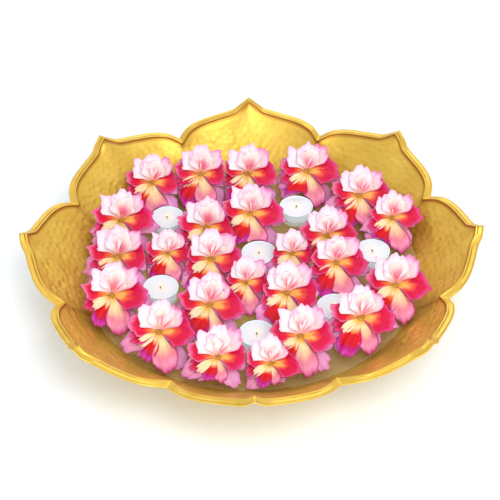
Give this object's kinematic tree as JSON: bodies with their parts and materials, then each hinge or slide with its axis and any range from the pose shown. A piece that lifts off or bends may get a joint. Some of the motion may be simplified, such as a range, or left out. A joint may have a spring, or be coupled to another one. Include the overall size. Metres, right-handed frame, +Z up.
{
  "type": "urli bowl",
  "caption": "Wide beaten-brass urli bowl with an eight-petal rim and a flat base, filled with water that carries lotus blooms and clear-cup tea lights that lift out.",
  "frame": {"origin": "centre of the bowl's flat base, on the surface it stands on", "axes": "+Z up out of the bowl; +Y towards the back, through one petal tip; +X to the right"},
  "size_m": [0.5084, 0.5084, 0.094],
  "materials": {
    "beaten_brass": "satin",
    "water": "gloss",
    "petals": "matte",
    "clear_cup": "gloss",
    "white_wax": "satin",
    "wick_plate": "satin",
    "wick": "matte"
  },
  "bodies": {
    "root": {"bowl": "beaten_brass", "water": "water"},
    "tea_light_1": {"tea_light_1_cup": "clear_cup", "tea_light_1_wax": "white_wax", "tea_light_1_wick_plate": "wick_plate", "tea_light_1_wick": "wick"},
    "tea_light_2": {"tea_light_2_cup": "clear_cup", "tea_light_2_wax": "white_wax", "tea_light_2_wick_plate": "wick_plate", "tea_light_2_wick": "wick"},
    "tea_light_3": {"tea_light_3_cup": "clear_cup", "tea_light_3_wax": "white_wax", "tea_light_3_wick_plate": "wick_plate", "tea_light_3_wick": "wick"},
    "tea_light_4": {"tea_light_4_cup": "clear_cup", "tea_light_4_wax": "white_wax", "tea_light_4_wick_plate": "wick_plate", "tea_light_4_wick": "wick"},
    "tea_light_5": {"tea_light_5_cup": "clear_cup", "tea_light_5_wax": "white_wax", "tea_light_5_wick_plate": "wick_plate", "tea_light_5_wick": "wick"},
    "tea_light_6": {"tea_light_6_cup": "clear_cup", "tea_light_6_wax": "white_wax", "tea_light_6_wick_plate": "wick_plate", "tea_light_6_wick": "wick"},
    "tea_light_7": {"tea_light_7_cup": "clear_cup", "tea_light_7_wax": "white_wax", "tea_light_7_wick_plate": "wick_plate", "tea_light_7_wick": "wick"},
    "lotus_01_body": {"lotus_01": "petals"},
    "lotus_02_body": {"lotus_02": "petals"},
    "lotus_03_body": {"lotus_03": "petals"},
    "lotus_04_body": {"lotus_04": "petals"},
    "lotus_05_body": {"lotus_05": "petals"},
    "lotus_06_body": {"lotus_06": "petals"},
    "lotus_07_body": {"lotus_07": "petals"},
    "lotus_08_body": {"lotus_08": "petals"},
    "lotus_09_body": {"lotus_09": "petals"},
    "lotus_10_body": {"lotus_10": "petals"},
    "lotus_11_body": {"lotus_11": "petals"},
    "lotus_12_body": {"lotus_12": "petals"},
    "lotus_13_body": {"lotus_13": "petals"},
    "lotus_14_body": {"lotus_14": "petals"},
    "lotus_15_body": {"lotus_15": "petals"},
    "lotus_16_body": {"lotus_16": "petals"},
    "lotus_17_body": {"lotus_17": "petals"},
    "lotus_18_body": {"lotus_18": "petals"},
    "lotus_19_body": {"lotus_19": "petals"},
    "lotus_20_body": {"lotus_20": "petals"},
    "lotus_21_body": {"lotus_21": "petals"},
    "lotus_22_body": {"lotus_22": "petals"},
    "lotus_23_body": {"lotus_23": "petals"},
    "lotus_24_body": {"lotus_24": "petals"},
    "lotus_25_body": {"lotus_25": "petals"}
  },
  "joints": [
    {"name": "tea_light_1_lift", "type": "slide", "parent": "root", "child": "tea_light_1", "axis": [0, 0, 1], "range_m": [0, 0.12]},
    {"name": "tea_light_2_lift", "type": "slide", "parent": "root", "child": "tea_light_2", "axis": [0, 0, 1], "range_m": [0, 0.12]},
    {"name": "tea_light_3_lift", "type": "slide", "parent": "root", "child": "tea_light_3", "axis": [0, 0, 1], "range_m": [0, 0.12]},
    {"name": "tea_light_4_lift", "type": "slide", "parent": "root", "child": "tea_light_4", "axis": [0, 0, 1], "range_m": [0, 0.12]},
    {"name": "tea_light_5_lift", "type": "slide", "parent": "root", "child": "tea_light_5", "axis": [0, 0, 1], "range_m": [0, 0.12]},
    {"name": "tea_light_6_lift", "type": "slide", "parent": "root", "child": "tea_light_6", "axis": [0, 0, 1], "range_m": [0, 0.12]},
    {"name": "tea_light_7_lift", "type": "slide", "parent": "root", "child": "tea_light_7", "axis": [0, 0, 1], "range_m": [0, 0.12]},
    {"name": "lotus_01_lift", "type": "slide", "parent": "root", "child": "lotus_01_body", "axis": [0, 0, 1], "range_m": [0, 0.12]},
    {"name": "lotus_02_lift", "type": "slide", "parent": "root", "child": "lotus_02_body", "axis": [0, 0, 1], "range_m": [0, 0.12]},
    {"name": "lotus_03_lift", "type": "slide", "parent": "root", "child": "lotus_03_body", "axis": [0, 0, 1], "range_m": [0, 0.12]},
    {"name": "lotus_04_lift", "type": "slide", "parent": "root", "child": "lotus_04_body", "axis": [0, 0, 1], "range_m": [0, 0.12]},
    {"name": "lotus_05_lift", "type": "slide", "parent": "root", "child": "lotus_05_body", "axis": [0, 0, 1], "range_m": [0, 0.12]},
    {"name": "lotus_06_lift", "type": "slide", "parent": "root", "child": "lotus_06_body", "axis": [0, 0, 1], "range_m": [0, 0.12]},
    {"name": "lotus_07_lift", "type": "slide", "parent": "root", "child": "lotus_07_body", "axis": [0, 0, 1], "range_m": [0, 0.12]},
    {"name": "lotus_08_lift", "type": "slide", "parent": "root", "child": "lotus_08_body", "axis": [0, 0, 1], "range_m": [0, 0.12]},
    {"name": "lotus_09_lift", "type": "slide", "parent": "root", "child": "lotus_09_body", "axis": [0, 0, 1], "range_m": [0, 0.12]},
    {"name": "lotus_10_lift", "type": "slide", "parent": "root", "child": "lotus_10_body", "axis": [0, 0, 1], "range_m": [0, 0.12]},
    {"name": "lotus_11_lift", "type": "slide", "parent": "root", "child": "lotus_11_body", "axis": [0, 0, 1], "range_m": [0, 0.12]},
    {"name": "lotus_12_lift", "type": "slide", "parent": "root", "child": "lotus_12_body", "axis": [0, 0, 1], "range_m": [0, 0.12]},
    {"name": "lotus_13_lift", "type": "slide", "parent": "root", "child": "lotus_13_body", "axis": [0, 0, 1], "range_m": [0, 0.12]},
    {"name": "lotus_14_lift", "type": "slide", "parent": "root", "child": "lotus_14_body", "axis": [0, 0, 1], "range_m": [0, 0.12]},
    {"name": "lotus_15_lift", "type": "slide", "parent": "root", "child": "lotus_15_body", "axis": [0, 0, 1], "range_m": [0, 0.12]},
    {"name": "lotus_16_lift", "type": "slide", "parent": "root", "child": "lotus_16_body", "axis": [0, 0, 1], "range_m": [0, 0.12]},
    {"name": "lotus_17_lift", "type": "slide", "parent": "root", "child": "lotus_17_body", "axis": [0, 0, 1], "range_m": [0, 0.12]},
    {"name": "lotus_18_lift", "type": "slide", "parent": "root", "child": "lotus_18_body", "axis": [0, 0, 1], "range_m": [0, 0.12]},
    {"name": "lotus_19_lift", "type": "slide", "parent": "root", "child": "lotus_19_body", "axis": [0, 0, 1], "range_m": [0, 0.12]},
    {"name": "lotus_20_lift", "type": "slide", "parent": "root", "child": "lotus_20_body", "axis": [0, 0, 1], "range_m": [0, 0.12]},
    {"name": "lotus_21_lift", "type": "slide", "parent": "root", "child": "lotus_21_body", "axis": [0, 0, 1], "range_m": [0, 0.12]},
    {"name": "lotus_22_lift", "type": "slide", "parent": "root", "child": "lotus_22_body", "axis": [0, 0, 1], "range_m": [0, 0.12]},
    {"name": "lotus_23_lift", "type": "slide", "parent": "root", "child": "lotus_23_body", "axis": [0, 0, 1], "range_m": [0, 0.12]},
    {"name": "lotus_24_lift", "type": "slide", "parent": "root", "child": "lotus_24_body", "axis": [0, 0, 1], "range_m": [0, 0.12]},
    {"name": "lotus_25_lift", "type": "slide", "parent": "root", "child": "lotus_25_body", "axis": [0, 0, 1], "range_m": [0, 0.12]}
  ]
}
